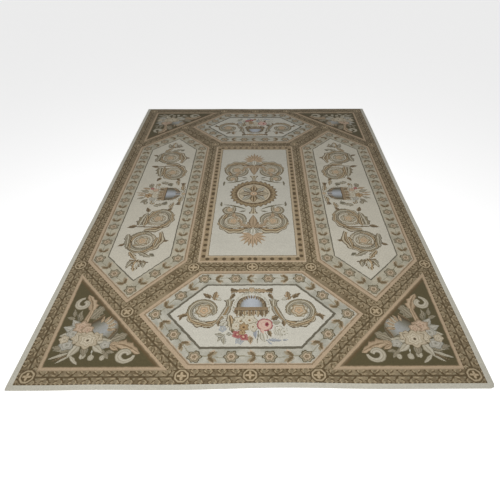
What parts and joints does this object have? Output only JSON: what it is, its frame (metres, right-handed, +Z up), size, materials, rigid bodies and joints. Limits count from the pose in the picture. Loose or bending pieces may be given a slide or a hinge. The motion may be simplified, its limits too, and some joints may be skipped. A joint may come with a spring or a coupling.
{
  "type": "woven area rug",
  "caption": "Large flat wool rug in tapestry stitch, lying with a plain hem and a few soft storage creases; panelled floral and scroll design in cream, beige and olive brown.",
  "frame": {"origin": "middle of the underside on the floor, at the centre of the rug's rectangle", "axes": "+X across the width, +Y along the length away from the near end, +Z up"},
  "size_m": [2, 2.8, 0.0093],
  "materials": {
    "tapestry_wool": "matt stitched wool"
  },
  "bodies": {
    "root": {"woven_rug": "tapestry_wool"}
  },
  "joints": []
}
